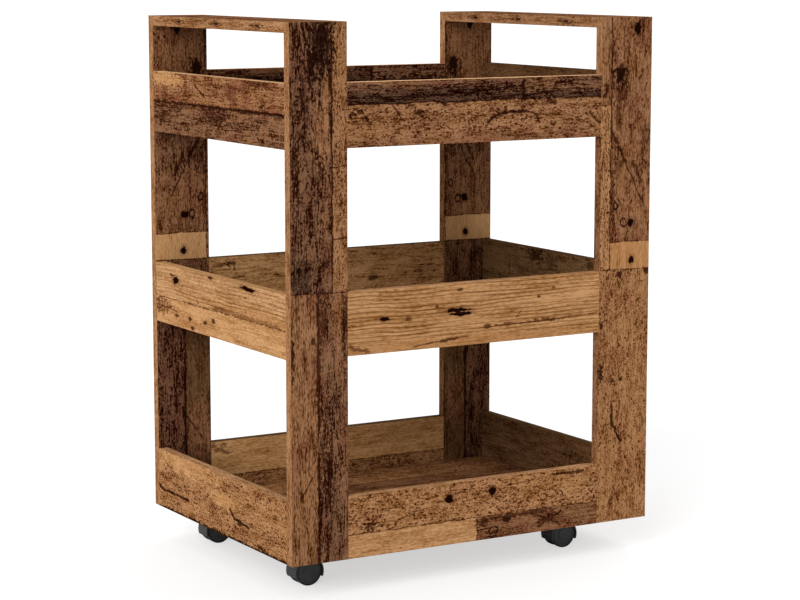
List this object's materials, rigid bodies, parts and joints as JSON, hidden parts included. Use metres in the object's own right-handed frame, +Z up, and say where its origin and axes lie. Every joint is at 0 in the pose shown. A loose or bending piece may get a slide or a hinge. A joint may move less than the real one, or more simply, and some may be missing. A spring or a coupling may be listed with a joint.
{
  "type": "kitchen cart",
  "caption": "Open kitchen cart of flush reclaimed-look boards: stacked shallow trays between board legs, a handle board across each end, swivelling twin-wheel casters.",
  "frame": {"origin": "on the floor under the middle of the cart", "axes": "+Z up, +X along the long side, front at -Y, so +Y goes from the front to the back"},
  "size_m": [0.6, 0.45, 0.797],
  "materials": {
    "old_wood": "matt reclaimed-wood print on engineered board, dark mottling, knots and nail holes",
    "dowel_wood": "plain beech",
    "zinc_steel": "bright zinc plate",
    "cam_metal": "dull die-cast zinc",
    "nylon": "natural nylon",
    "caster_plastic": "black moulded plastic, satin",
    "wheel_plastic": "black moulded plastic, matt tread"
  },
  "bodies": {
    "cart": {"leg_front_left": "old_wood", "leg_back_left": "old_wood", "leg_front_right": "old_wood", "leg_back_right": "old_wood", "handle_left": "old_wood", "handle_right": "old_wood", "bottom_tray_front_board": "old_wood", "bottom_tray_back_board": "old_wood", "bottom_tray_left_end": "old_wood", "bottom_tray_right_end": "old_wood", "bottom_tray_floor": "old_wood", "middle_tray_front_board": "old_wood", "middle_tray_back_board": "old_wood", "middle_tray_left_end": "old_wood", "middle_tray_right_end": "old_wood", "middle_tray_floor": "old_wood", "top_tray_front_board": "old_wood", "top_tray_back_board": "old_wood", "top_tray_left_end": "old_wood", "top_tray_right_end": "old_wood", "top_tray_floor": "old_wood", "dowels": "dowel_wood", "cam_bolts": "zinc_steel", "cam_nuts": "cam_metal", "caster_screws": "zinc_steel", "caster_front_left_plate": "zinc_steel", "caster_front_left_kingpin": "zinc_steel", "caster_front_left_washer": "nylon", "caster_back_left_plate": "zinc_steel", "caster_back_left_kingpin": "zinc_steel", "caster_back_left_washer": "nylon", "caster_front_right_plate": "zinc_steel", "caster_front_right_kingpin": "zinc_steel", "caster_front_right_washer": "nylon", "caster_back_right_plate": "zinc_steel", "caster_back_right_kingpin": "zinc_steel", "caster_back_right_washer": "nylon"},
    "caster_front_left": {"caster_front_left_hood": "caster_plastic", "caster_front_left_axle": "zinc_steel"},
    "caster_front_left_front_roller": {"caster_front_left_front_wheel": "wheel_plastic"},
    "caster_front_left_back_roller": {"caster_front_left_back_wheel": "wheel_plastic"},
    "caster_back_left": {"caster_back_left_hood": "caster_plastic", "caster_back_left_axle": "zinc_steel"},
    "caster_back_left_front_roller": {"caster_back_left_front_wheel": "wheel_plastic"},
    "caster_back_left_back_roller": {"caster_back_left_back_wheel": "wheel_plastic"},
    "caster_front_right": {"caster_front_right_hood": "caster_plastic", "caster_front_right_axle": "zinc_steel"},
    "caster_front_right_front_roller": {"caster_front_right_front_wheel": "wheel_plastic"},
    "caster_front_right_back_roller": {"caster_front_right_back_wheel": "wheel_plastic"},
    "caster_back_right": {"caster_back_right_hood": "caster_plastic", "caster_back_right_axle": "zinc_steel"},
    "caster_back_right_front_roller": {"caster_back_right_front_wheel": "wheel_plastic"},
    "caster_back_right_back_roller": {"caster_back_right_back_wheel": "wheel_plastic"}
  },
  "joints": [
    {"name": "caster_front_left_swivel", "type": "hinge", "parent": "cart", "child": "caster_front_left", "pos_m": [-0.218, -0.144, 0.035], "axis": [0, 0, 1], "continuous": true},
    {"name": "caster_front_left_front_spin", "type": "hinge", "parent": "caster_front_left", "child": "caster_front_left_front_roller", "pos_m": [-0.237, -0.1535, 0.02], "axis": [0, 1, 0], "continuous": true},
    {"name": "caster_front_left_back_spin", "type": "hinge", "parent": "caster_front_left", "child": "caster_front_left_back_roller", "pos_m": [-0.237, -0.1345, 0.02], "axis": [0, 1, 0], "continuous": true},
    {"name": "caster_back_left_swivel", "type": "hinge", "parent": "cart", "child": "caster_back_left", "pos_m": [-0.218, 0.144, 0.035], "axis": [0, 0, 1], "continuous": true},
    {"name": "caster_back_left_front_spin", "type": "hinge", "parent": "caster_back_left", "child": "caster_back_left_front_roller", "pos_m": [-0.237, 0.1345, 0.02], "axis": [0, 1, 0], "continuous": true},
    {"name": "caster_back_left_back_spin", "type": "hinge", "parent": "caster_back_left", "child": "caster_back_left_back_roller", "pos_m": [-0.237, 0.1535, 0.02], "axis": [0, 1, 0], "continuous": true},
    {"name": "caster_front_right_swivel", "type": "hinge", "parent": "cart", "child": "caster_front_right", "pos_m": [0.218, -0.144, 0.035], "axis": [0, 0, 1], "continuous": true},
    {"name": "caster_front_right_front_spin", "type": "hinge", "parent": "caster_front_right", "child": "caster_front_right_front_roller", "pos_m": [0.199, -0.1535, 0.02], "axis": [0, 1, 0], "continuous": true},
    {"name": "caster_front_right_back_spin", "type": "hinge", "parent": "caster_front_right", "child": "caster_front_right_back_roller", "pos_m": [0.199, -0.1345, 0.02], "axis": [0, 1, 0], "continuous": true},
    {"name": "caster_back_right_swivel", "type": "hinge", "parent": "cart", "child": "caster_back_right", "pos_m": [0.218, 0.144, 0.035], "axis": [0, 0, 1], "continuous": true},
    {"name": "caster_back_right_front_spin", "type": "hinge", "parent": "caster_back_right", "child": "caster_back_right_front_roller", "pos_m": [0.199, 0.1345, 0.02], "axis": [0, 1, 0], "continuous": true},
    {"name": "caster_back_right_back_spin", "type": "hinge", "parent": "caster_back_right", "child": "caster_back_right_back_roller", "pos_m": [0.199, 0.1535, 0.02], "axis": [0, 1, 0], "continuous": true}
  ]
}
